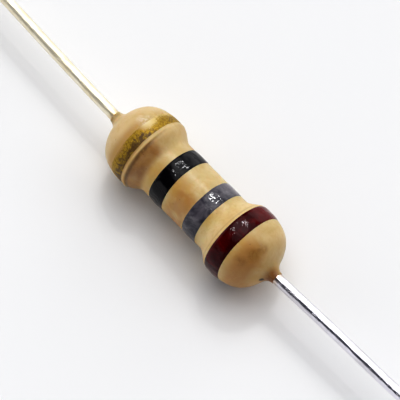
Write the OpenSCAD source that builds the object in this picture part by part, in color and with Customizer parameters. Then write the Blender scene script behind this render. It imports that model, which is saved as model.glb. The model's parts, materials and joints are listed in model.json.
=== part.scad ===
// Axial carbon-film resistor with four colour bands.
// A ceramic rod carries a carbon film with a spiral cut. A steel cap is pressed on each end
// and a tinned wire lead is welded to each cap. A dipped lacquer coat covers everything but
// the leads, and the colour bands are painted round the coat.
// Millimetres. The body's axis lies along X, the origin is the body's centre and +Z is up.
// The first-digit band is at the +X end.

/* [Rod and film] */
// Diameter of the ceramic rod
rod_d = 2.2; // [1.6:0.05:3]
// Length of the ceramic rod
rod_len = 6.6; // [5:0.1:9]
// Chamfer round each end of the rod
rod_chamfer = 0.08; // [0.02:0.01:0.2]
// Thickness of the carbon film
film_t = 0.04; // [0.03:0.005:0.08]
// Turns of the spiral cut in the film
cut_turns = 4; // [1:1:6]
// Width of the spiral cut, measured along the rod
cut_w = 0.2; // [0.1:0.05:0.35]
// Uncut film left between each cap and the spiral cut
cut_margin = 0.5; // [0.3:0.05:0.9]

/* [End caps] */
// Wall of the pressed steel caps
cap_wall = 0.22; // [0.15:0.01:0.3]
// Length of rod that each cap covers
cap_grip = 1; // [0.6:0.05:1.5]
// Rounding of each cap's outer corner
cap_corner = 0.35; // [0.2:0.05:0.45]

/* [Leads] */
// Diameter of the tinned wire
wire_d = 0.45; // [0.35:0.01:0.6]
// Length of each lead outside the coat, up to its cut end
lead_len = 26; // [5:0.5:38]
// Length of lead that runs straight out of the skirt before it leans
lead_stub = 0.06; // [0.04:0.02:2]
// How far each lead leans towards +Y from there on, in degrees
lead_lean = 1.8; // [0.2:0.1:6]
// Diameter of the weld foot where the wire meets the cap
weld_d = 0.8; // [0.65:0.05:1]
// Height of the weld foot
weld_h = 0.18; // [0.1:0.02:0.3]
// Chamfer left by the cutter round the lead's end
end_chamfer = 0.05; // [0.01:0.01:0.1]

/* [Coat] */
// Thickness of the coat over the film, at the waist
coat_waist = 0.1; // [0.08:0.01:0.2]
// Thickness of the coat round the caps
coat_cap = 0.24; // [0.2:0.01:0.35]
// Thickness of the coat over a cap's end face, out to the skirt
coat_end = 0.63; // [0.5:0.01:0.9]
// Length over which the coat rises from the waist on to a cap
shoulder_len = 0.8; // [0.5:0.05:1.2]
// Length of full-height coat between a cap's rim and the shoulder
shoulder_lap = 0.1; // [0.05:0.01:0.3]
// Distance back from a cap's end face to where the dome begins
dome_back = 0.92; // [0.7:0.01:1]
// Height of the ridge that the coat forms over a cap's rim
ridge_h = 0.03; // [0:0.005:0.06]
// Half width of that ridge
ridge_w = 0.07; // [0.04:0.01:0.12]
// Diameter of the skirt at its root, on the dome
skirt_d = 1.32; // [1.1:0.01:1.6]
// Length of the skirt that tapers on to the lead
skirt_len = 0.45; // [0.3:0.01:0.8]
// Thickness of the skirt's edge round the lead
skirt_lip = 0.03; // [0.02:0.005:0.06]

/* [Colour bands] */
// Thickness of the paint
paint_t = 0.04; // [0.03:0.005:0.06]
// Width of the digit and multiplier bands
band_w = 0.76; // [0.5:0.01:0.9]
// Width of the tolerance band
tolerance_w = 0.62; // [0.4:0.01:0.9]
// Distance outward from a cap's rim to the centre of the first-digit band
first_digit_out = 0.35; // [0.2:0.01:0.6]
// Distance inward from a cap's rim to the centre of the second-digit band
second_digit_in = 1.31; // [1:0.01:1.6]
// Distance inward from a cap's rim to the centre of the multiplier band
multiplier_in = 1.42; // [1:0.01:1.8]
// Distance outward from a cap's rim to the centre of the tolerance band
tolerance_out = 0.43; // [0.3:0.01:0.6]

/* [Hidden] */

$fn = 96;
cut_steps_per_turn = 24;
cut_overcut = 0.05;
bore_overcut = 1;
curve_steps = 12;
// Bezier handles of the dome and skirt, as shares of their spans.
dome_handle_out = 0.645;
dome_handle_in = [0.15, 0.575];
skirt_handle_out = 0.4;
skirt_handle_in = 0.49;

film_r = rod_d / 2 + film_t;
cap_r = film_r + cap_wall;
waist_r = film_r + coat_waist;
crown_r = cap_r + coat_cap;
wire_r = wire_d / 2;
cap_face_x = rod_len / 2 + cap_wall;
cap_rim_x = rod_len / 2 - cap_grip;
shoulder_top_x = cap_rim_x + shoulder_lap;
shoulder_foot_x = shoulder_top_x - shoulder_len;
dome_x = cap_face_x - dome_back;
skirt_root_x = cap_face_x + coat_end;
skirt_tip_x = skirt_root_x + skirt_len;
kink_x = skirt_tip_x + lead_stub;
leaning_len = lead_len - lead_stub;
cut_span = 2 * (cap_rim_x - cut_margin);

rod_colour = [0.93, 0.91, 0.86];
film_colour = [0.16, 0.15, 0.15];
steel_colour = [0.66, 0.65, 0.63];
tin_colour = [0.80, 0.80, 0.82];
coat_colour = [0.83, 0.66, 0.42];

function bezier(p, n) = [
    for (i = [0:n])
        let (t = i / n, s = 1 - t)
            s * s * s * p[0] + 3 * s * s * t * p[1] + 3 * s * t * t * p[2] + t * t * t * p[3]
];

// The coat's outline is a list of [x, radius] points, from the -X skirt to the +X skirt.
function shoulder() = [
    for (i = [0:curve_steps])
        let (t = i / curve_steps)
            [
                shoulder_foot_x + t * shoulder_len,
                waist_r + (crown_r - waist_r) * (1 - cos(180 * t)) / 2,
            ]
];

function crown() = [
    for (i = [1:curve_steps / 2 - 1])
        let (t = 2 * i / curve_steps) [shoulder_top_x + t * (dome_x - shoulder_top_x), crown_r]
];

dome_span = [skirt_root_x - dome_x, crown_r - skirt_d / 2];
dome_end = [skirt_root_x, skirt_d / 2];
dome_last_handle = dome_end + [-dome_handle_in[0] * dome_span[0], dome_handle_in[1] * dome_span[1]];

function dome() = bezier(
    [
        [dome_x, crown_r],
        [dome_x + dome_handle_out * dome_span[0], crown_r],
        dome_last_handle,
        dome_end,
    ],
    2 * curve_steps
);

skirt_tip = [skirt_tip_x, wire_r + skirt_lip];

function skirt() = bezier(
    [
        dome_end,
        dome_end + skirt_handle_out * (dome_end - dome_last_handle),
        skirt_tip - [skirt_handle_in * skirt_len, 0],
        skirt_tip,
    ],
    curve_steps
);

function drop_first(points) = [for (i = [1:len(points) - 1]) points[i]];

function with_ridge(points) = [
    for (p = points) p + [0, ridge_h * exp(-pow((p[0] - cap_rim_x) / ridge_w, 2))]
];

half_outline = with_ridge(concat(shoulder(), crown(), dome(), drop_first(skirt())));

coat_outline = concat(
    [for (i = [len(half_outline) - 1:-1:0]) [-half_outline[i][0], half_outline[i][1]]],
    half_outline
);

function coat_r(x) = lookup(x, coat_outline);

// Turns what is drawn about Z so that it lies along X: its top points to the end that side names.
module along_x(side = 1) {
    rotate([0, side * 90, 0]) children();
}

// Revolves a list of [distance along Z, radius] points into a solid.
module turned(points) {
    rotate_extrude() polygon([for (p = points) [p[1], p[0]]]);
}

module ceramic_rod() {
    half = rod_len / 2;
    r = rod_d / 2;
    color(rod_colour) along_x() turned([
        [-half, 0], [-half, r - rod_chamfer], [-half + rod_chamfer, r],
        [half - rod_chamfer, r], [half, r - rod_chamfer], [half, 0],
    ]);
}

// A square-section ribbon that winds round Z through the whole thickness of the film.
module spiral_cutter() {
    rings = cut_turns * cut_steps_per_turn;
    corners = [
        [rod_d / 2 - cut_overcut, -cut_w / 2], [film_r + cut_overcut, -cut_w / 2],
        [film_r + cut_overcut, cut_w / 2], [rod_d / 2 - cut_overcut, cut_w / 2],
    ];
    n = len(corners);
    points = [
        for (i = [0:rings])
            let (angle = 360 * i / cut_steps_per_turn, z = cut_span * (i / rings - 0.5))
                for (c = corners) [c[0] * cos(angle), c[0] * sin(angle), z + c[1]]
    ];
    sides = [
        for (i = [0:rings - 1], k = [0:n - 1])
            let (a = i * n + k, b = i * n + (k + 1) % n)
                each [[a, b, b + n], [a, b + n, a + n]]
    ];
    last = rings * n;
    ends = [
        [0, 2, 1], [0, 3, 2],
        [last, last + 1, last + 2], [last, last + 2, last + 3],
    ];
    polyhedron(points, concat(sides, ends));
}

module carbon_film() {
    film_len = rod_len - 2 * rod_chamfer;
    color(film_colour) along_x() difference() {
        cylinder(r = film_r, h = film_len, center = true);
        cylinder(d = rod_d, h = film_len + bore_overcut, center = true);
        spiral_cutter();
    }
}

// The outside of a cap, from its rim up to its end face, on the body's axis.
module cap_envelope() {
    translate([0, 0, cap_rim_x]) rotate_extrude() {
        length = cap_grip + cap_wall;
        square([cap_r, length - cap_corner]);
        square([cap_r - cap_corner, length]);
        intersection() {
            translate([cap_r - cap_corner, length - cap_corner]) circle(r = cap_corner);
            square([cap_r, length]);
        }
    }
}

module end_cap(side) {
    color(steel_colour) along_x(side) difference() {
        cap_envelope();
        translate([0, 0, cap_rim_x - bore_overcut])
            cylinder(r = film_r, h = cap_grip + bore_overcut);
    }
}

// Cuts away what lies past the kink's mitre plane, or with a half turn what lies before it.
module mitre_cutter(turn) {
    translate([0, 0, kink_x]) rotate([turn - lead_lean / 2, 0, 0])
        cylinder(r = 2 * wire_d, h = 2 * wire_d);
}

// A lead stands on its cap, runs straight out through the skirt and then leans towards +Y.
module lead_solid() {
    difference() {
        turned([
            [cap_face_x, 0], [cap_face_x, weld_d / 2], [cap_face_x + weld_h, wire_r],
            [kink_x + wire_d, wire_r], [kink_x + wire_d, 0],
        ]);
        mitre_cutter(0);
    }
    difference() {
        translate([0, 0, kink_x]) rotate([-lead_lean, 0, 0]) turned([
            [-wire_d, 0], [-wire_d, wire_r], [leaning_len - end_chamfer, wire_r],
            [leaning_len, wire_r - end_chamfer], [leaning_len, 0],
        ]);
        mitre_cutter(180);
    }
}

module lead(side) {
    color(tin_colour) along_x(side) lead_solid();
}

module coat() {
    color(coat_colour) difference() {
        along_x() turned(concat([[-skirt_tip_x, 0]], coat_outline, [[skirt_tip_x, 0]]));
        along_x() cylinder(r = film_r, h = rod_len, center = true);
        for (side = [-1, 1]) along_x(side) {
            cap_envelope();
            lead_solid();
        }
    }
}

// A ring of paint that follows the coat from one edge of the band to the other.
module band(centre_x, width) {
    low = centre_x - width / 2;
    high = centre_x + width / 2;
    between = [for (p = coat_outline) if (p[0] > low && p[0] < high) p[0]];
    stations = concat([low], between, [high]);
    inner = [for (x = stations) [x, coat_r(x)]];
    outer = [for (i = [len(stations) - 1:-1:0]) inner[i] + [0, paint_t]];
    along_x() turned(concat(inner, outer));
}

module first_digit_band() {
    color([0.33, 0.04, 0.05]) band(cap_rim_x + first_digit_out, band_w);
}

module second_digit_band() {
    color([0.29, 0.29, 0.34]) band(cap_rim_x - second_digit_in, band_w);
}

module multiplier_band() {
    color([0.03, 0.03, 0.04]) band(multiplier_in - cap_rim_x, band_w);
}

module tolerance_band() {
    color([0.72, 0.55, 0.16]) band(-cap_rim_x - tolerance_out, tolerance_w);
}

ceramic_rod();
carbon_film();
end_cap(1);  // end_cap_first
end_cap(-1);  // end_cap_last
lead(1);  // lead_first
lead(-1);  // lead_last
coat();
first_digit_band();
second_digit_band();
multiplier_band();
tolerance_band();
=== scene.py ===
"""Looks of an axial carbon-film resistor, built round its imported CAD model.

The coat, the four colour bands and the two leads are modelled here as fine meshes. The rod, the
film and the end caps stay as CAD nodes inside the coat and only get materials.
Profiles are worked out in millimetres, as in the CAD source, and every mesh is made in metres.
The body lies along X, and angles round it run from +Z towards +Y.
"""

import json
import math

import bpy
import numpy as np
from mathutils import Matrix, Vector, noise


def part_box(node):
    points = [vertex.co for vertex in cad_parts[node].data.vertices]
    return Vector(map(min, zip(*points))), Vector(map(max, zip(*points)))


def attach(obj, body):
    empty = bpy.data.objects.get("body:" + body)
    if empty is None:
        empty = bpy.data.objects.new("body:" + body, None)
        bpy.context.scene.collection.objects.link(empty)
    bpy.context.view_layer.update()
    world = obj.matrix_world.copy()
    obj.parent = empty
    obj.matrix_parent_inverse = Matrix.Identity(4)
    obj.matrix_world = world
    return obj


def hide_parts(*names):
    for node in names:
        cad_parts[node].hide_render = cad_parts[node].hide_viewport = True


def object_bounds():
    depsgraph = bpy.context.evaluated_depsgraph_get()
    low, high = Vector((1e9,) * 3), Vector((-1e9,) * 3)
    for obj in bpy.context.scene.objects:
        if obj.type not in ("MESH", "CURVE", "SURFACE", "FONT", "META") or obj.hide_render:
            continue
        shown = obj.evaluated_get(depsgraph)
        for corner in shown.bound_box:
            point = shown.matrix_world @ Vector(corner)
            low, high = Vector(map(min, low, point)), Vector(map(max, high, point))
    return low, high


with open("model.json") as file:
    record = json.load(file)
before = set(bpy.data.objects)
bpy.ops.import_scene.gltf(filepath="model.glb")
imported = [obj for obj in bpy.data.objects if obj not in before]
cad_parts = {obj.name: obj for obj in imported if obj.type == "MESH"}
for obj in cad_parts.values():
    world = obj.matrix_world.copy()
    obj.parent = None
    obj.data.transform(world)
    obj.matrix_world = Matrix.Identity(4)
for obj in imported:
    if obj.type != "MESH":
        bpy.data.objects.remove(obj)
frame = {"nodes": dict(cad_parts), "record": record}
cad_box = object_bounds()

MM = 0.001

# Sizes that the CAD source states and the frame's boxes don't show, in millimetres.
WELD_HEIGHT = 0.18
CAP_CORNER = 0.35
SHOULDER_LENGTH = 0.8
SHOULDER_LAP = 0.1
DOME_BACK = 0.92
COAT_CAP = 0.24
COAT_WAIST = 0.1
SKIRT_LENGTH = 0.45
SKIRT_ROOT_RADIUS = 0.66
SKIRT_LIP = 0.03
LEAD_STUB = 0.06
END_CHAMFER = 0.05
# Handles of the coat's two curves on each end, as shares of the stretch they cross.
DOME_HANDLE_OUT = 0.645
DOME_HANDLE_IN = (0.15, 0.575)
SKIRT_HANDLE_OUT = 0.4
SKIRT_HANDLE_IN = 0.49
SHOULDER_POINTS = 60
DOME_POINTS = 120
SKIRT_POINTS = 60

# The coat's skin: the height, scale and seed of each slow swell, and the height, distance from
# the cap's rim and half width of the ridges and the groove beside it.
SWELL_RADIUS = 1.4
SWELLS = ((0.014, 0.9, 1), (0.005, 2.6, 2))
LAST_RIDGE = (0.03, -0.03, 0.036)
LAST_GROOVE = (-0.024, 0.06, 0.04)
FIRST_RIDGE = (0.016, -0.07, 0.04)
COAT_SIDES = 176
COAT_STEP = 0.032
# The two rings of the lip round each wire: how far in from the skirt's tip, and out from the wire.
LIP = ((0.002, 0.012), (0.02, 0.0))

# The painted rings. Their edges wave, and their hidden inside lies a little under the coat's skin.
BAND_SIDES = 384
BAND_RINGS = 45
BAND_RADIUS = 1.3
EDGE_WAVES = 1.6
EDGE_CROWDING = 0.6
BAND_SINK = 0.004
BAND_ROOT = 0.02

# The wires: how long the bend outside the skirt is, and how far they sway from straight.
LEAD_SIDES = 64
BEND_LENGTH = 0.3
SWAY_START = 2.0
SWAY_SCALE = 0.22
SWAY_ACROSS = 0.035
SWAY_UP = 0.02
SWAY_SHIFT = 7


def box_mm(node):
    """A CAD node's lowest and highest corners, in millimetres."""
    low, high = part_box(node)
    return low / MM, high / MM


def mount_named(name):
    """One of the record's mounts."""
    return next(m for m in frame["record"]["mounts"] if m["name"] == name)


# Places and radii that the frame gives, in millimetres.
skirt_tip_x = box_mm("coat")[1].x
skirt_root_x = skirt_tip_x - SKIRT_LENGTH
cap_rim_x = box_mm("end_cap_first")[0].x
cap_face_x = box_mm("end_cap_first")[1].x
cap_radius = box_mm("end_cap_first")[1].z
film_radius = box_mm("carbon_film")[1].z
weld_radius = box_mm("lead_first")[1].z
lead_mount = mount_named("lead_first_end")
wire_radius = lead_mount["dims"]["r_mm"]
lead_end = Vector(lead_mount["pos_m"]) / MM
waist_radius = film_radius + COAT_WAIST
crown_radius = cap_radius + COAT_CAP
shoulder_top_x = cap_rim_x + SHOULDER_LAP
shoulder_foot_x = shoulder_top_x - SHOULDER_LENGTH
dome_x = cap_face_x - DOME_BACK
kink_x = skirt_tip_x + LEAD_STUB


# ---------------------------------------------------------------- the coat's outline

def bezier(points, count):
    """count + 1 points along a cubic curve."""
    t = np.linspace(0, 1, count + 1)[:, None]
    p = np.array(points, float)
    s = 1 - t
    return s**3 * p[0] + 3 * s * s * t * p[1] + 3 * s * t * t * p[2] + t**3 * p[3]


def half_outline():
    """The coat's radius against x, from the waist out to one skirt's tip, without its ridge."""
    t = np.linspace(0, 1, SHOULDER_POINTS)
    rise = (1 - np.cos(math.pi * t)) / 2
    shoulder = np.stack([
        shoulder_foot_x + t * SHOULDER_LENGTH,
        waist_radius + (crown_radius - waist_radius) * rise,
    ], 1)
    span = np.array([skirt_root_x - dome_x, crown_radius - SKIRT_ROOT_RADIUS])
    start = np.array([dome_x, crown_radius])
    end = np.array([skirt_root_x, SKIRT_ROOT_RADIUS])
    last_handle = end + span * [-DOME_HANDLE_IN[0], DOME_HANDLE_IN[1]]
    dome = bezier([start, start + [DOME_HANDLE_OUT * span[0], 0], last_handle, end], DOME_POINTS)
    tip = np.array([skirt_tip_x, wire_radius + SKIRT_LIP])
    skirt_handle = end + SKIRT_HANDLE_OUT * (end - last_handle)
    tip_handle = tip - [SKIRT_HANDLE_IN * SKIRT_LENGTH, 0]
    skirt = bezier([end, skirt_handle, tip_handle, tip], SKIRT_POINTS)
    return np.concatenate([shoulder, dome, skirt[1:]])


outline = half_outline()


def outline_radius(x):
    """The coat's nominal radius at x, which may be an array."""
    return np.interp(np.abs(x), outline[:, 0], outline[:, 1])


def ridge(x, rim, shape):
    """A rounded ridge beside a cap's rim, or a groove when its height is negative."""
    height, offset, half_width = shape
    return height * np.exp(-((x - rim - offset) / half_width) ** 2)


def noise_at(x, angle, radius, scale, seed):
    """Smooth noise between about -1 and 1 over points round the body, at a scale per millimetre."""
    y = radius * np.sin(angle)
    z = radius * np.cos(angle)
    x, y, z = np.broadcast_arrays(x, y, z)
    shift = Vector((seed * 17.3, seed * 5.1, seed * 9.7))
    flat = [
        noise.noise(Vector(p) * scale + shift)
        for p in zip(x.ravel(), y.ravel(), z.ravel())
    ]
    return np.array(flat).reshape(x.shape)


def coat_radius(x, angle):
    """The coat's real radius: its outline, the slow swell of a dipped coat and the ridges."""
    x, angle = np.broadcast_arrays(x, angle)
    swell = sum(h * noise_at(x, angle, SWELL_RADIUS, scale, seed) for h, scale, seed in SWELLS)
    fade = np.clip((skirt_tip_x - np.abs(x)) / SKIRT_LENGTH, 0, 1)
    # The ridge by the tolerance band sags, so it stands highest on the -Y side.
    sag = 0.6 - 0.4 * np.clip(np.sin(angle) * 1.6, -1, 1)
    last_ridge = ridge(x, -cap_rim_x, LAST_RIDGE) + ridge(x, -cap_rim_x, LAST_GROOVE)
    return outline_radius(x) + swell * fade + sag * last_ridge + ridge(x, cap_rim_x, FIRST_RIDGE)


# ---------------------------------------------------------------- meshes

def lofted(name, rings, close_ends=False, close_loop=False):
    """A smooth mesh skinned over rings of points in millimetres, shape (rings, points, 3).

    It faces outwards when the outer rings run towards +X and their points from +Z to +Y.
    """
    count, sides = rings.shape[:2]
    vertices = (rings.reshape(-1, 3) * MM).tolist()
    faces = []
    for i in range(count if close_loop else count - 1):
        here = i * sides
        there = (i + 1) % count * sides
        for k in range(sides):
            n = (k + 1) % sides
            faces.append((here + k, there + k, there + n, here + n))
    if close_ends:
        faces.append(tuple(range(sides)))
        faces.append(tuple(range(count * sides - 1, (count - 1) * sides - 1, -1)))
    mesh = bpy.data.meshes.new(name)
    mesh.from_pydata(vertices, [], faces)
    mesh.validate()
    for polygon in mesh.polygons:
        polygon.use_smooth = len(polygon.vertices) == 4
    piece = bpy.data.objects.new(name, mesh)
    bpy.context.scene.collection.objects.link(piece)
    return piece


def ring_points(x, angle, radius):
    """Points round the X axis, from arrays that broadcast to (rings, points)."""
    x, angle, radius = np.broadcast_arrays(x, angle, radius)
    return np.stack([x, radius * np.sin(angle), radius * np.cos(angle)], 2)


def around(count):
    """Evenly spaced angles, as a row."""
    return np.linspace(0, 2 * math.pi, count, endpoint=False)[None, :]


def spaced(points, step):
    """x values from the first point to the last, no more than step apart, through each point."""
    pieces = [
        np.linspace(a, b, max(2, math.ceil(abs(b - a) / step) + 1))[:-1]
        for a, b in zip(points, points[1:])
    ]
    return np.concatenate([*pieces, [points[-1]]])


def cavity_profile():
    """The coat's inside, from the +X lead hole to the -X one: weld foot, cap, and film between."""
    turn = np.linspace(0, math.pi / 2, 7)
    corner = [
        (cap_face_x - CAP_CORNER * (1 - math.cos(a)), cap_radius - CAP_CORNER * (1 - math.sin(a)))
        for a in turn
    ]
    half = [
        (cap_face_x + WELD_HEIGHT, wire_radius),
        (cap_face_x, weld_radius),
        *corner,
        (cap_rim_x, cap_radius),
        (cap_rim_x, film_radius),
    ]
    return half + [(-x, r) for x, r in reversed(half)]


def make_coat():
    """The dipped coat: a fine outer skin, lips round the leads and the cavity inside."""
    angle = around(COAT_SIDES)
    stops = [-skirt_tip_x, -skirt_root_x, -dome_x, -cap_rim_x, -shoulder_foot_x]
    x = spaced(stops + [-s for s in reversed(stops)], COAT_STEP)[:, None]
    outer = ring_points(x, angle, coat_radius(x, angle))
    lip = [(skirt_tip_x - inwards, wire_radius + outwards) for inwards, outwards in LIP]
    inner = lip + cavity_profile() + [(-a, r) for a, r in reversed(lip)]
    inside = np.array(inner)
    back = ring_points(inside[:, :1], angle, inside[:, 1:])
    return lofted("coat_skin", np.concatenate([outer, back]), close_loop=True)


def make_band(name, node, thickness, edge, ripple, ripple_scale, seed):
    """A painted ring on the coat, with wavy edges, rounded shoulders and a rippled surface."""
    low, high = box_mm(node)
    angle = around(BAND_SIDES)
    share = np.linspace(0, 1, BAND_RINGS)[:, None]
    left = low.x + edge * (1 + noise_at(0, angle, BAND_RADIUS, EDGE_WAVES, seed))
    right = high.x - edge * (1 + noise_at(3, angle, BAND_RADIUS, EDGE_WAVES, seed))
    crowding = np.sin(2 * math.pi * share) / (2 * math.pi) * EDGE_CROWDING
    x = left + (right - left) * (share - crowding)
    across = (x - left) / (right - left)
    body = (1 - np.abs(2 * across - 1) ** 3) ** 0.6
    skin = coat_radius(x, angle)
    bumps = noise_at(x, angle, BAND_RADIUS, ripple_scale, seed + 3)
    outer = skin + body * (thickness + ripple * bumps) - BAND_SINK
    # The hidden inside needs only every fourth ring.
    under = ring_points(x[::-4], angle, skin[::-4] - BAND_ROOT)
    rings = np.concatenate([ring_points(x, angle, outer), under])
    return lofted(name, rings, close_loop=True)


def lead_path():
    """The weld, the kink outside the skirt and the heading beyond it, on the +X side."""
    start = Vector((cap_face_x, 0, 0))
    kink = Vector((kink_x, 0, 0))
    lean = (lead_end - kink).normalized()
    return start, kink, lean


def lead_middle(seed):
    """Points along a +X lead's middle, the heading at each and each one's distance from the weld."""
    start, kink, lean = lead_path()
    straight = kink.x - start.x
    total = straight + (lead_end - kink).length + END_CHAMFER
    bend_from = straight - BEND_LENGTH / 2
    bend_to = straight + BEND_LENGTH / 2
    stops = [0, WELD_HEIGHT, bend_from, bend_to, total - 1, total - END_CHAMFER, total]
    steps = [0.06, 0.2, 0.02, 0.1, 0.05, 0.02]
    distance = np.concatenate([
        *[spaced(stops[i:i + 2], steps[i])[:-1] for i in range(len(steps))],
        [total],
    ])
    bend = np.clip((distance - straight) / BEND_LENGTH + 0.5, 0, 1)
    blend = bend * bend * (3 - 2 * bend)
    heading = np.array([Vector((1, 0, 0)).lerp(lean, b).normalized() for b in blend])
    steps_taken = (heading[1:] + heading[:-1]) / 2 * np.diff(distance)[:, None]
    middle = np.concatenate([[[0, 0, 0]], np.cumsum(steps_taken, axis=0)]) + [start.x, 0, 0]
    free = np.clip((distance - straight) / SWAY_START, 0, 1)
    sway = np.array([noise.noise(Vector((d * SWAY_SCALE, seed, 0))) for d in distance])
    middle[:, 1] += SWAY_ACROSS * free * sway
    middle[:, 2] += SWAY_UP * free * np.roll(sway, SWAY_SHIFT)
    return middle, heading, distance


def lead_radius(distance):
    """A lead's radius: its weld foot, the wire and the clipped end."""
    total = distance[-1]
    radius = np.full(len(distance), wire_radius)
    foot = distance < WELD_HEIGHT
    radius[foot] = weld_radius + (wire_radius - weld_radius) * distance[foot] / WELD_HEIGHT
    tip = distance > total - END_CHAMFER
    radius[tip] = wire_radius - (distance[tip] - total + END_CHAMFER)
    return radius


def make_lead(name, side, seed):
    """A drawn and tinned wire: its weld foot, the bend outside the skirt and the clipped end."""
    middle, heading, distance = lead_middle(seed)
    radius = lead_radius(distance)
    angle = around(LEAD_SIDES)
    across = np.stack([-heading[:, 1], heading[:, 0], heading[:, 2] * 0], 1)
    up = np.array([0, 0, 1])
    rings = (
        middle[:, None, :]
        + (radius[:, None] * np.sin(angle))[:, :, None] * across[:, None, :]
        + (radius[:, None] * np.cos(angle))[:, :, None] * up
    )
    if side < 0:
        rings = rings[:, ::-1] * [-1, 1, 1]
    return lofted(name, rings, close_ends=True)


# ---------------------------------------------------------------- material building

class Surface:
    """A material's nodes, with short calls for the few kinds used here."""

    def __init__(self, name):
        self.material = bpy.data.materials.new(name)
        self.material.use_nodes = True
        self.tree = self.material.node_tree
        self.shader = self.tree.nodes["Principled BSDF"]
        self.place = self.add("TexCoord").outputs["Object"]

    def add(self, kind, **settings):
        node = self.tree.nodes.new("ShaderNode" + kind)
        for key, value in settings.items():
            setattr(node, key, value)
        return node

    def feed(self, socket, value):
        """Links a socket, or sets it to a plain value."""
        if isinstance(value, bpy.types.NodeSocket):
            self.tree.links.new(value, socket)
        else:
            socket.default_value = value

    def millimetres(self, stretch=(1, 1, 1), shift=(0, 0, 0)):
        """The place on the object in millimetres, each axis stretched by a factor."""
        node = self.add("Mapping")
        self.feed(node.inputs["Vector"], self.place)
        node.inputs["Scale"].default_value = [s / MM for s in stretch]
        node.inputs["Location"].default_value = shift
        return node.outputs["Vector"]

    def noise(self, scale, detail=3, rough=0.5, warp=0, stretch=(1, 1, 1), shift=(0, 0, 0)):
        node = self.add("TexNoise")
        self.feed(node.inputs["Vector"], self.millimetres(stretch, shift))
        node.inputs["Scale"].default_value = scale
        node.inputs["Detail"].default_value = detail
        node.inputs["Roughness"].default_value = rough
        node.inputs["Distortion"].default_value = warp
        return node.outputs["Fac"]

    def cells(self, scale):
        """The distance from the middle of the nearest cell, in cells."""
        node = self.add("TexVoronoi")
        self.feed(node.inputs["Vector"], self.millimetres())
        node.inputs["Scale"].default_value = scale
        return node.outputs["Distance"]

    def axis(self, name):
        """One coordinate of the place on the object, in millimetres."""
        node = self.add("SeparateXYZ")
        self.feed(node.inputs[0], self.millimetres())
        return node.outputs[name]

    def between(self, value, low, high, to_low=0.0, to_high=1.0):
        """value rescaled smoothly from low..high to to_low..to_high, and held there outside."""
        node = self.add("MapRange", clamp=True)
        node.interpolation_type = "SMOOTHSTEP"
        self.feed(node.inputs["Value"], value)
        node.inputs["From Min"].default_value = low
        node.inputs["From Max"].default_value = high
        node.inputs["To Min"].default_value = to_low
        node.inputs["To Max"].default_value = to_high
        return node.outputs["Result"]

    def span(self, value, rise, fall, most=1.0):
        """0 that rises to most over the first pair of values and falls to 0 over the second."""
        rising = self.between(value, rise[0], rise[1], 0, most)
        return self.times(rising, self.between(value, fall[1], fall[0]))

    def spot(self, centre, inner, outer):
        """1 within inner millimetres of a point, fading to 0 at outer."""
        gap = self.add("VectorMath", operation="DISTANCE")
        self.feed(gap.inputs[0], self.millimetres())
        gap.inputs[1].default_value = centre
        return self.between(gap.outputs["Value"], outer, inner)

    def calculate(self, operation, a, b=0.0):
        """A math node's result."""
        node = self.add("Math", operation=operation)
        self.feed(node.inputs[0], a)
        self.feed(node.inputs[1], b)
        return node.outputs[0]

    def times(self, a, b):
        return self.calculate("MULTIPLY", a, b)

    def plus(self, a, b):
        return self.calculate("ADD", a, b)

    def minus(self, a, b):
        return self.calculate("SUBTRACT", a, b)

    def blend(self, share, a, b):
        """Two colours mixed, with b's share given."""
        node = self.add("Mix", data_type="RGBA")
        self.feed(node.inputs["Factor"], share)
        self.feed(node.inputs[6], a)
        self.feed(node.inputs[7], b)
        return node.outputs[2]

    def bump(self, height, distance, under=None):
        """A bump whose height is in millimetres for a full step of the texture."""
        node = self.add("Bump")
        node.inputs["Strength"].default_value = 1.0
        node.inputs["Distance"].default_value = distance * MM
        self.feed(node.inputs["Height"], height)
        if under is not None:
            self.feed(node.inputs["Normal"], under)
        return node.outputs["Normal"]

    def set(self, **values):
        """Sets or links sockets of the shader by their names, with _ for a space."""
        for name, value in values.items():
            self.feed(self.shader.inputs[name.replace("_", " ")], value)

    def finish_on(self, piece):
        piece.data.materials.clear()
        piece.data.materials.append(self.material)


def colour(red, green, blue):
    """A linear colour from sRGB values of 0 to 255."""
    def linear(v):
        v = v / 255
        return v / 12.92 if v <= 0.04045 else ((v + 0.055) / 1.055) ** 2.4
    return (linear(red), linear(green), linear(blue), 1)


# ---------------------------------------------------------------- materials

# The lacquer's tones. Several carry painted light and shade: the lit and shaded sides, the lit
# shoulder and far end, and the shaded dome, crease, rims and lead exits.
TAN_LIT_SIDE = colour(196, 170, 116)
TAN_SHADED_SIDE = colour(202, 164, 94)
TAN_CLOUD = colour(208, 184, 134)
TAN_STREAK = colour(186, 144, 78)
TAN_LIT_SHOULDER = colour(222, 194, 142)
TAN_LIT_FAR_END = colour(208, 184, 138)
TAN_SHADED_DOME = colour(178, 132, 72)
TAN_SHADE_BY_GOLD = colour(172, 124, 60)
TAN_MOTTLE = colour(190, 152, 84)
BROWN_SMEAR_AND_SHADE = colour(142, 100, 50)
MILKY_BLOOM_AND_SHEEN = colour(228, 216, 196)
GOLD_DUST = colour(186, 150, 70)
RED_FILM_AND_SHADE = colour(152, 100, 50)
BROWN_FILM_AND_SHADE = colour(172, 120, 64)
CREASE_SHADE = colour(112, 78, 34)
STEP_SHADE_LINE = colour(128, 88, 44)
EXIT_TINT_AND_SHADE = colour(132, 78, 26)
SPECK = colour(104, 70, 40)
PINHOLE = colour(44, 26, 10)

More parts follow.
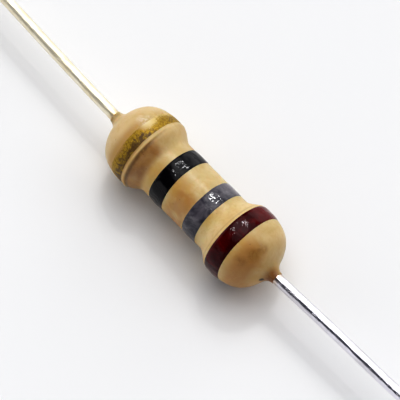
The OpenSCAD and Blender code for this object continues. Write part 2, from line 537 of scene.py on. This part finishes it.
# Marks on the skin, each a point in millimetres: a pinhole in the first-digit end's skirt, a brown
# smear over its dome that is partly painted shade, a milky bloom on the far cap that is partly
# painted sheen, and a rubbed place on the gold band beside it.
PIT = (4.25, -0.47, 0.02)
SMEAR_AND_SHADE = ((3.5, -0.86, 1.12), (3.66, -0.4, 1.25), (3.72, 0.0, 1.28))
BLOOM_AND_SHEEN = (-3.1, 0.22, 1.56)
RUBBED = (-2.95, 0.2, 1.58)

# A noise's usual stretch: the same along each axis.
EVEN = (1, 1, 1)


def lacquer_shade_and_clouds(s, shaded_side):
    """The tan itself: paler on the lit +Y side and deeper on the shaded -Y side, which is painted
    light and shade, with pale clouds and brown streaks.
    """
    # Painted light and shade: a paler tan on the lit side, a deeper one on the shaded side.
    base = s.blend(shaded_side, TAN_LIT_SIDE, TAN_SHADED_SIDE)
    base = s.blend(s.between(s.noise(0.9, 4, 0.55, 0.6), 0.36, 0.66), base, TAN_CLOUD)
    streaks = s.noise(1.6, 3, 0.6, 0.3, (0.5, 1, 1), (3, 1, 5))
    return s.blend(s.between(streaks, 0.5, 0.72, 0, 0.4), base, TAN_STREAK)


def lacquer_light_shade_and_smear(s, base, x, shaded_side):
    """Painted light and shade: paler on the first-digit shoulder and the far end, which face the
    light, and browner on the first-digit dome's shaded side, with a brown smear there.
    """
    # Painted light on the shoulder that faces the light.
    base = s.blend(s.span(x, (1.3, 1.7), (2.3, 3.0), 0.6), base, TAN_LIT_SHOULDER)
    # Painted light on the far end, which faces the light.
    base = s.blend(s.between(x, -2.5, -3.2, 0, 0.8), base, TAN_LIT_FAR_END)
    # Painted shade on the first-digit dome, strongest on its shaded side.
    dome_shade = s.plus(s.times(s.between(x, 2.95, 3.5), shaded_side), s.between(x, 3.5, 4.0, 0, 0.35))
    dome_shade = s.times(dome_shade, s.between(x, 4.15, 3.75, 0.25, 0.95))
    base = s.blend(dome_shade, base, TAN_SHADED_DOME)
    # A brown smear over the dome's dark core: partly a real smear, partly painted shade.
    for centre in SMEAR_AND_SHADE:
        cloudy = s.between(s.noise(2.5, 3, 0.6), 0.35, 0.6, 0.2, 0.75)
        base = s.blend(s.times(s.spot(centre, 0.04, 0.36), cloudy), base, BROWN_SMEAR_AND_SHADE)
    return base


def lacquer_by_gold(s, base, x, shaded_side):
    """The far cap beside the tolerance band: a milky bloom that is partly painted sheen, a browner
    rim on the shaded side that is painted shade, and stray gold dust.
    """
    cloudy = s.between(s.noise(4, 4, 0.7), 0.35, 0.6, 0.3, 0.9)
    # A milky patch where the lamps' sheen falls: partly bloom, partly painted sheen.
    base = s.blend(s.times(s.spot(BLOOM_AND_SHEEN, 0.08, 0.45), cloudy), base, MILKY_BLOOM_AND_SHEEN)
    rim = s.span(x, (-3.5, -3.1), (-2.5, -2.3), 0.7)
    # Painted shade: a browner rim on the shaded side.
    base = s.blend(s.times(rim, shaded_side), base, TAN_SHADE_BY_GOLD)
    dust = s.between(s.noise(9, 4, 0.75, 0.5), 0.4, 0.62, 0.1, 0.8)
    dust = s.times(s.span(x, (-3.4, -3.0), (-2.55, -2.4)), dust)
    return s.blend(dust, base, GOLD_DUST)


def lacquer_film_and_shade(s, base, x, shaded_side):
    """The film showing through where the coat is thinner, by the tolerance band and between two
    others, and painted shade that keeps both patches mostly to the shaded -Y side.
    """
    shoulder = s.span(x, (-2.35, -2.2), (-1.85, -1.5))
    patch = s.between(s.noise(1.1, 3, 0.5, 0.8, (0.8, 1, 1), (8, 2, 1)), 0.36, 0.62, 0.1, 0.4)
    # Stronger on the shaded side: partly film, partly painted shade.
    patch = s.times(s.plus(patch, 0.5), s.plus(s.times(shaded_side, 0.85), 0.1))
    base = s.blend(s.times(shoulder, patch), base, RED_FILM_AND_SHADE)
    middle = s.span(x, (-0.6, 0.0), (0.5, 0.8), 0.7)
    patch = s.between(s.noise(1.7, 3, 0.5, 0.5, EVEN, (1, 6, 3)), 0.3, 0.55, 0.3, 1)
    # Only on the -Y side, where shade falls: partly film, partly painted shade.
    middle = s.times(s.times(middle, patch), s.between(s.axis("Y"), -0.2, -0.6))
    return s.blend(middle, base, BROWN_FILM_AND_SHADE)


def lacquer_lines(s, base, x, shaded_side):
    """Painted shade in creases: a dark line in the crease by the far ridge on the shaded side, and a
    faint one where the coat steps up.
    """
    crease = s.span(x, (-2.31, -2.26), (-2.22, -2.12), 0.8)
    base = s.blend(s.times(crease, shaded_side), base, CREASE_SHADE)
    step = s.span(x, (2.1, 2.15), (2.17, 2.22), 0.5)
    return s.blend(s.times(step, s.noise(1.5, 2, 0.5)), base, STEP_SHADE_LINE)


def lacquer_ends(s, base, x):
    """A brown tint where each lead leaves the coat, made stronger on the shaded -Y side by painted
    shade.
    """
    ends = s.plus(s.between(x, 4.15, 4.45, 0, 0.95), s.between(x, -4.3, -4.55, 0, 0.5))
    # Painted shade: the tint grows towards the shaded -Y side.
    tint = s.times(ends, s.between(s.axis("Y"), 0.32, -0.1, 0.3, 1))
    return s.blend(tint, base, EXIT_TINT_AND_SHADE)


def lacquer_marks(s, base):
    """Fine mottling, a few specks and the pinhole."""
    mottle = s.noise(4.5, 4, 0.7, 0.6, EVEN, (5, 5, 1))
    base = s.blend(s.between(mottle, 0.46, 0.64, 0, 0.3), base, TAN_MOTTLE)
    base = s.blend(s.between(s.cells(2.6), 0.035, 0.06, 0.55, 0), base, SPECK)
    return s.blend(s.spot(PIT, 0.06, 0.14), base, PINHOLE)


def tan_lacquer():
    """Dipped tan lacquer: cloudy, a little see-through over the film, and browner at the leads, with
    painted light and shade on its lit and shaded sides.
    """
    s = Surface("tan lacquer")
    x = s.axis("X")
    # 0 on the lit +Y side and 1 on the shaded -Y side, with a wavy border: the mask for painted light
    # and shade.
    drift = s.times(s.noise(1.2, 3, 0.6, 0.4, EVEN, (2, 7, 4)), 0.9)
    shaded_side = s.between(s.plus(s.axis("Y"), drift), 0.85, -0.05)
    base = lacquer_shade_and_clouds(s, shaded_side)
    base = lacquer_light_shade_and_smear(s, base, x, shaded_side)
    base = lacquer_by_gold(s, base, x, shaded_side)
    base = lacquer_film_and_shade(s, base, x, shaded_side)
    base = lacquer_lines(s, base, x, shaded_side)
    base = lacquer_ends(s, base, x)
    s.set(
        Base_Color=lacquer_marks(s, base),
        Roughness=s.between(s.noise(3, 3, 0.6), 0.3, 0.7, 0.38, 0.48),
        Specular_IOR_Level=0.5,
        Normal=s.bump(s.noise(14, 3, 0.6), 0.003, s.bump(s.noise(2.2, 2, 0.5), 0.012)),
        Coat_Weight=0.12,
        Coat_Roughness=0.2,
        Subsurface_Weight=0.4,
        Subsurface_Scale=0.4 * MM,
        Subsurface_Radius=(1.0, 0.4, 0.14),
    )
    return s


def glossy_paint(name, deep, thin_and_lit, patchy, rough, gloss, ripple, seed):
    """Thick gloss paint that lets a little of the coat through in patches, and paler on the lit +Y
    side as painted light.
    """
    s = Surface(name)
    shift = (seed, seed * 2, seed * 3)
    cover = s.between(s.noise(1.4, 4, 0.6, 0.7, EVEN, shift), 0.4, 0.75, 0, patchy)
    base = s.blend(cover, deep, thin_and_lit)
    # Painted light: towards the lit +Y side the paint takes its paler colour.
    base = s.blend(s.between(s.axis("Y"), 0.35, 1.2, 0, 0.55), base, thin_and_lit)
    swirl = s.noise(3.0, 1.5, 0.5, 1.2, (0.7, 1, 1), shift)
    fine = s.noise(30, 2, 0.5, 0, EVEN, shift)
    uneven = s.noise(4, 2, 0.5, 0, EVEN, shift)
    s.set(
        Base_Color=base,
        Roughness=s.between(uneven, 0.3, 0.7, rough, rough + 0.04),
        Specular_IOR_Level=gloss,
        Normal=s.bump(fine, 0.0006, s.bump(swirl, ripple)),
    )
    return s


def maroon_paint():
    return glossy_paint(
        "maroon paint", deep=colour(56, 0, 5), thin_and_lit=colour(116, 10, 12), patchy=0.5,
        rough=0.03, gloss=0.2, ripple=0.018, seed=4,
    )


def grey_paint():
    return glossy_paint(
        "grey paint", deep=colour(42, 40, 52), thin_and_lit=colour(130, 125, 130), patchy=0.6,
        rough=0.08, gloss=0.5, ripple=0.019, seed=5,
    )


def black_paint():
    return glossy_paint(
        "black paint", deep=colour(9, 8, 11), thin_and_lit=colour(22, 18, 22), patchy=0.5,
        rough=0.03, gloss=0.26, ripple=0.021, seed=6,
    )


def worn_away(s, x):
    """1 where the gold is missing: over its outer edge, and more where it was rubbed."""
    coarse = s.times(s.noise(5, 4, 0.7), 0.4)
    fine = s.times(s.noise(16, 3, 0.7), 0.5)
    reach = s.plus(coarse, fine)
    retreat = s.between(s.noise(0.7, 1, 0.5, 0, (0, 1, 1), (0, 1, 2)), 0.4, 0.65, 0, 0.28)
    lower = s.between(s.axis("Y"), 0.3, -0.5, 0, 0.2)
    ragged = s.plus(s.plus(x, lower), s.minus(reach, retreat))
    ragged = s.minus(ragged, s.times(s.spot(RUBBED, 0.15, 0.6), 0.26))
    return s.between(ragged, -2.64, -2.34, 0.97, 0)


def gold_paint():
    """Gold flake paint: mustard with olive gaps, thinning out over its outer edge."""
    s = Surface("gold flake paint")
    x = s.axis("X")
    grain = s.noise(13, 4, 0.7, 0.8)
    gold = s.blend(s.between(grain, 0.36, 0.64), colour(132, 102, 28), colour(184, 152, 54))
    # More dark gaps towards the inner edge and on the -Y side: partly gaps in the flakes, partly
    # painted shade.
    lower = s.between(s.axis("Y"), 0.5, -0.3, 0.1, 1)
    inner = s.times(s.between(x, -2.95, -2.5, 0, 0.2), lower)
    gaps = s.between(s.plus(s.noise(4, 6, 0.78, 0.8), inner), 0.56, 0.7, 0, 0.9)
    gold = s.blend(gaps, gold, colour(80, 52, 12))
    worn = worn_away(s, x)
    # The coat showing through is paler on the lit +Y side and browner on the shaded -Y side: painted
    # light and shade.
    sides = s.between(s.axis("Y"), 0.35, -0.35)
    skin = s.blend(sides, colour(214, 188, 124), colour(176, 134, 70))
    # The milky patch on the skin: partly bloom, partly painted sheen.
    skin = s.blend(s.times(s.spot(BLOOM_AND_SHEEN, 0.05, 0.4), 0.7), skin, colour(228, 216, 180))
    s.set(
        Base_Color=s.blend(worn, gold, skin),
        Metallic=s.times(s.between(gaps, 0, 0.85, 0.6, 0.1), s.between(worn, 0, 0.95, 1, 0)),
        Roughness=s.between(grain, 0.3, 0.7, 0.42, 0.6),
        Normal=s.bump(s.noise(16, 4, 0.7), 0.008),
    )
    return s


def tinned_wire(name, bright, dull, tint, rough):
    """Tin over drawn wire: draw lines, scratches and a tint where the wire leaves the coat."""
    s = Surface(name)
    clouds = s.noise(1.2, 3, 0.6, 0.4, (0.5, 1, 1))
    base = s.blend(s.between(clouds, 0.35, 0.65), bright, dull)
    exits = s.between(s.calculate("ABSOLUTE", s.axis("X")), 4.9, 4.62, 0, 0.5)
    dents = s.bump(s.noise(2.6, 3, 0.6, 0.5, (0.3, 1, 1), (6, 2, 5)), 0.035)
    scratches = s.between(s.noise(6, 4, 0.7, 1.2, (0.3, 1, 1), (4, 4, 4)), 0.62, 0.7)
    lines = s.noise(9, 3, 0.6, 0, (0.05, 1, 1))
    s.set(
        Base_Color=s.blend(exits, base, tint),
        Metallic=1.0,
        Roughness=s.between(clouds, 0.3, 0.7, rough, rough + 0.1),
        Normal=s.bump(lines, 0.006, s.bump(scratches, 0.006, dents)),
    )
    return s


def bright_wire():
    """The wire on the first-digit end."""
    return tinned_wire(
        "bright tinned wire", bright=colour(234, 232, 240), dull=colour(214, 211, 216),
        tint=colour(190, 158, 112), rough=0.17,
    )


def dull_wire_painted_reflection():
    """The wire on the tolerance end, whose tin is duller; its creamier colour is partly a painted
    warm reflection.
    """
    return tinned_wire(
        "dull tinned wire", bright=colour(244, 238, 220), dull=colour(232, 222, 194),
        tint=colour(206, 178, 126), rough=0.34,
    )


def fired_ceramic():
    """Matt white alumina for the rod."""
    s = Surface("fired ceramic")
    s.set(
        Base_Color=s.blend(s.noise(2, 3, 0.6), colour(236, 231, 219), colour(247, 244, 236)),
        Roughness=s.between(s.noise(6), 0.3, 0.7, 0.6, 0.75),
        Normal=s.bump(s.noise(20), 0.004),
    )
    return s


def carbon_film():
    """Matt dark film."""
    s = Surface("carbon film")
    s.set(
        Base_Color=s.blend(s.noise(3, 4, 0.6), colour(36, 34, 34), colour(58, 54, 52)),
        Roughness=s.between(s.noise(8), 0.3, 0.7, 0.5, 0.65),
        Normal=s.bump(s.noise(25), 0.003),
    )
    return s


def plated_steel():
    """Pressed and plated steel for the caps."""
    s = Surface("plated steel")
    drawn = s.noise(8, 3, 0.6, 0, (0.1, 1, 1))
    s.set(
        Base_Color=s.blend(drawn, colour(176, 174, 170), colour(206, 204, 200)),
        Metallic=1.0,
        Roughness=s.between(drawn, 0.3, 0.7, 0.26, 0.4),
        Normal=s.bump(drawn, 0.004),
    )
    return s


# ---------------------------------------------------------------- the object

def place(piece, node, surface):
    """Finishes a modelled piece and lets it stand for its CAD node."""
    surface.finish_on(piece)
    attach(piece, "root")
    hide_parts(node)


def build_bands():
    """The four bands, each with its own thickness, edge and ripple in millimetres."""
    first = make_band(
        "first_digit_ring", "first_digit_band",
        thickness=0.028, edge=0.012, ripple=0.008, ripple_scale=4.0, seed=11,
    )
    second = make_band(
        "second_digit_ring", "second_digit_band",
        thickness=0.026, edge=0.014, ripple=0.009, ripple_scale=4.2, seed=12,
    )
    multiplier = make_band(
        "multiplier_ring", "multiplier_band",
        thickness=0.03, edge=0.012, ripple=0.009, ripple_scale=4.0, seed=13,
    )
    tolerance = make_band(
        "tolerance_ring", "tolerance_band",
        thickness=0.012, edge=0.02, ripple=0.004, ripple_scale=7.0, seed=14,
    )
    place(first, "first_digit_band", maroon_paint())
    place(second, "second_digit_band", grey_paint())
    place(multiplier, "multiplier_band", black_paint())
    place(tolerance, "tolerance_band", gold_paint())


def build_object():
    """The modelled pieces, and materials for the CAD nodes that stay."""
    place(make_coat(), "coat", tan_lacquer())
    build_bands()
    near_wire = make_lead("lead_first_wire", side=1, seed=3.1)
    far_wire = make_lead("lead_last_wire", side=-1, seed=8.4)
    place(near_wire, "lead_first", bright_wire())
    place(far_wire, "lead_last", dull_wire_painted_reflection())
    fired_ceramic().finish_on(frame["nodes"]["ceramic_rod"])
    carbon_film().finish_on(frame["nodes"]["carbon_film"])
    steel = plated_steel()
    steel.finish_on(frame["nodes"]["end_cap_first"])
    steel.finish_on(frame["nodes"]["end_cap_last"])


# ---------------------------------------------------------------- floor, lights and camera

# The camera, in degrees and millimetres. Its aim is measured from the middle of the body.
CAMERA_AZIMUTH = 47.9
CAMERA_ELEVATION = 64.8
CAMERA_FIELD = 9.69
CAMERA_DISTANCE = 90.0
CAMERA_SENSOR = 36.0
AIM_RIGHT = 0.194
AIM_UP = -0.142

# The floor's width in metres, and how bright the camera sees the backdrop past its edge.
FLOOR_SIZE = 8.0
BACKDROP = 0.66
# The unlit room is dim and slightly blue.
ROOM_COLOUR = (0.6, 0.65, 1.0, 1.0)
ROOM_LIGHT = 0.035
# Each soft panel's name, tilt, azimuth, inner and outer radius in degrees, and strength.
PANELS = (
    ("softbox", 26.0, 35.0, 8.0, 36.0, 1.22),
    ("overhead", 0.0, 0.0, 10.0, 35.0, 0.84),
    ("window", 50.0, -36.0, 6.0, 26.0, 1.4),
    ("far_wall", 78.0, 12.0, 10.0, 32.0, 1.25),
    ("left_wall", 75.0, 115.0, 10.0, 34.0, 1.25),
    ("upper_left", 48.0, 75.0, 8.0, 30.0, 0.5),
    ("near_wall", 75.0, 215.0, 10.0, 40.0, 0.4),
    ("skirting", 88.0, 165.0, 8.0, 25.0, 0.7),
)
# Each lamp's name, tilt, azimuth, energy and width across the sky in degrees.
LAMPS = (
    ("key", 32.3, 36.3, 0.2, 2.6),
    ("key_left", 39.0, 31.0, 0.08, 1.8),
    ("key_right", 26.0, 46.0, 0.07, 1.8),
    ("key_top", 34.0, 22.0, 0.06, 1.8),
    ("second_lamp", 21.0, 117.0, 0.03, 1.6),
)


def make_floor():
    """A plain pale floor that the body rests on."""
    half = FLOOR_SIZE / 2
    level = cad_box[0].z
    corners = [(x, y, level) for x, y in ((-half, -half), (half, -half), (half, half), (-half, half))]
    mesh = bpy.data.meshes.new("floor")
    mesh.from_pydata(corners, [], [(0, 1, 2, 3)])
    floor = bpy.data.objects.new("floor", mesh)
    bpy.context.scene.collection.objects.link(floor)
    s = Surface("pale floor")
    s.set(
        Base_Color=s.blend(s.noise(0.02, 2), (0.84, 0.84, 0.84, 1), (0.85, 0.85, 0.85, 1)),
        Roughness=0.9,
        Specular_IOR_Level=0.1,
    )
    s.finish_on(floor)


def direction(tilt, azimuth):
    """A unit vector tilted from +Z, away from where a camera at that azimuth stands."""
    t = math.radians(tilt)
    a = math.radians(azimuth)
    return Vector((-math.sin(a) * math.sin(t), math.cos(a) * math.sin(t), math.cos(t)))


def soft_panel(tree, where, tilt, azimuth, inner, outer, bright):
    """bright within inner degrees of a direction, fading to nothing at outer degrees."""
    dot = tree.nodes.new("ShaderNodeVectorMath")
    dot.operation = "DOT_PRODUCT"
    tree.links.new(where, dot.inputs[0])
    dot.inputs[1].default_value = direction(tilt, azimuth)
    fade = tree.nodes.new("ShaderNodeMapRange")
    fade.interpolation_type = "SMOOTHSTEP"
    fade.inputs["From Min"].default_value = math.cos(math.radians(outer))
    fade.inputs["From Max"].default_value = math.cos(math.radians(inner))
    fade.inputs["To Max"].default_value = bright
    tree.links.new(dot.outputs["Value"], fade.inputs["Value"])
    return fade.outputs["Result"]


def added(tree, a, b):
    """The sum of two sockets."""
    node = tree.nodes.new("ShaderNodeMath")
    node.operation = "ADD"
    tree.links.new(a, node.inputs[0])
    tree.links.new(b, node.inputs[1])
    return node.outputs[0]


def background(tree, tint, strength):
    """A background's light. Its strength is a number or a socket."""
    node = tree.nodes.new("ShaderNodeBackground")
    node.inputs["Color"].default_value = tint
    if isinstance(strength, float):
        node.inputs["Strength"].default_value = strength
    else:
        tree.links.new(strength, node.inputs["Strength"])
    return node.outputs[0]


def make_studio():
    """Soft panels and a dim room as the world, with the camera seeing a plain backdrop."""
    world = bpy.data.worlds.new("studio")
    bpy.context.scene.world = world
    world.use_nodes = True
    tree = world.node_tree
    tree.nodes.clear()
    where = tree.nodes.new("ShaderNodeTexCoord").outputs["Generated"]
    panels = [soft_panel(tree, where, *panel[1:]) for panel in PANELS]
    light = panels[0]
    for panel in panels[1:]:
        light = added(tree, light, panel)
    together = tree.nodes.new("ShaderNodeAddShader")
    tree.links.new(background(tree, (1, 1, 1, 1), light), together.inputs[0])
    tree.links.new(background(tree, ROOM_COLOUR, ROOM_LIGHT), together.inputs[1])
    rays = tree.nodes.new("ShaderNodeLightPath")
    mix = tree.nodes.new("ShaderNodeMixShader")
    tree.links.new(rays.outputs["Is Camera Ray"], mix.inputs["Fac"])
    tree.links.new(together.outputs[0], mix.inputs[1])
    tree.links.new(background(tree, (BACKDROP, BACKDROP, BACKDROP, 1), 1.0), mix.inputs[2])
    output = tree.nodes.new("ShaderNodeOutputWorld")
    tree.links.new(mix.outputs[0], output.inputs["Surface"])


def make_lamps():
    """Small bright sources inside the soft panel, which draw the sharp highlights."""
    for name, tilt, azimuth, energy, width in LAMPS:
        lamp = bpy.data.lights.new(name, "SUN")
        lamp.energy = energy
        lamp.angle = math.radians(width)
        sun = bpy.data.objects.new(name, lamp)
        sun.rotation_euler = direction(tilt, azimuth).to_track_quat("Z", "Y").to_euler()
        bpy.context.scene.collection.objects.link(sun)


def make_camera():
    """The camera at the photo's angle."""
    azimuth = math.radians(CAMERA_AZIMUTH)
    elevation = math.radians(CAMERA_ELEVATION)
    back = Vector((
        math.sin(azimuth) * math.cos(elevation),
        -math.cos(azimuth) * math.cos(elevation),
        math.sin(elevation),
    ))
    right = Vector((math.cos(azimuth), math.sin(azimuth), 0))
    up = back.cross(right)
    low, high = box_mm("coat")
    aim = (low + high) / 2 + right * AIM_RIGHT + up * AIM_UP
    lens = bpy.data.cameras.new("camera")
    lens.sensor_width = CAMERA_SENSOR
    lens.lens = CAMERA_SENSOR / 2 / math.tan(math.radians(CAMERA_FIELD / 2))
    lens.clip_start = MM
    camera = bpy.data.objects.new("camera", lens)
    turn = Matrix((right, up, back)).transposed().to_4x4()
    camera.matrix_world = Matrix.Translation((aim + back * CAMERA_DISTANCE) * MM) @ turn
    bpy.context.scene.collection.objects.link(camera)
    bpy.context.scene.camera = camera


def set_tone():
    """The contrasty tone curve of a small camera."""
    view = bpy.context.scene.view_settings
    view.view_transform = "Standard"
    view.look = "High Contrast"


build_object()
make_floor()
make_studio()
make_lamps()
make_camera()
set_tone()
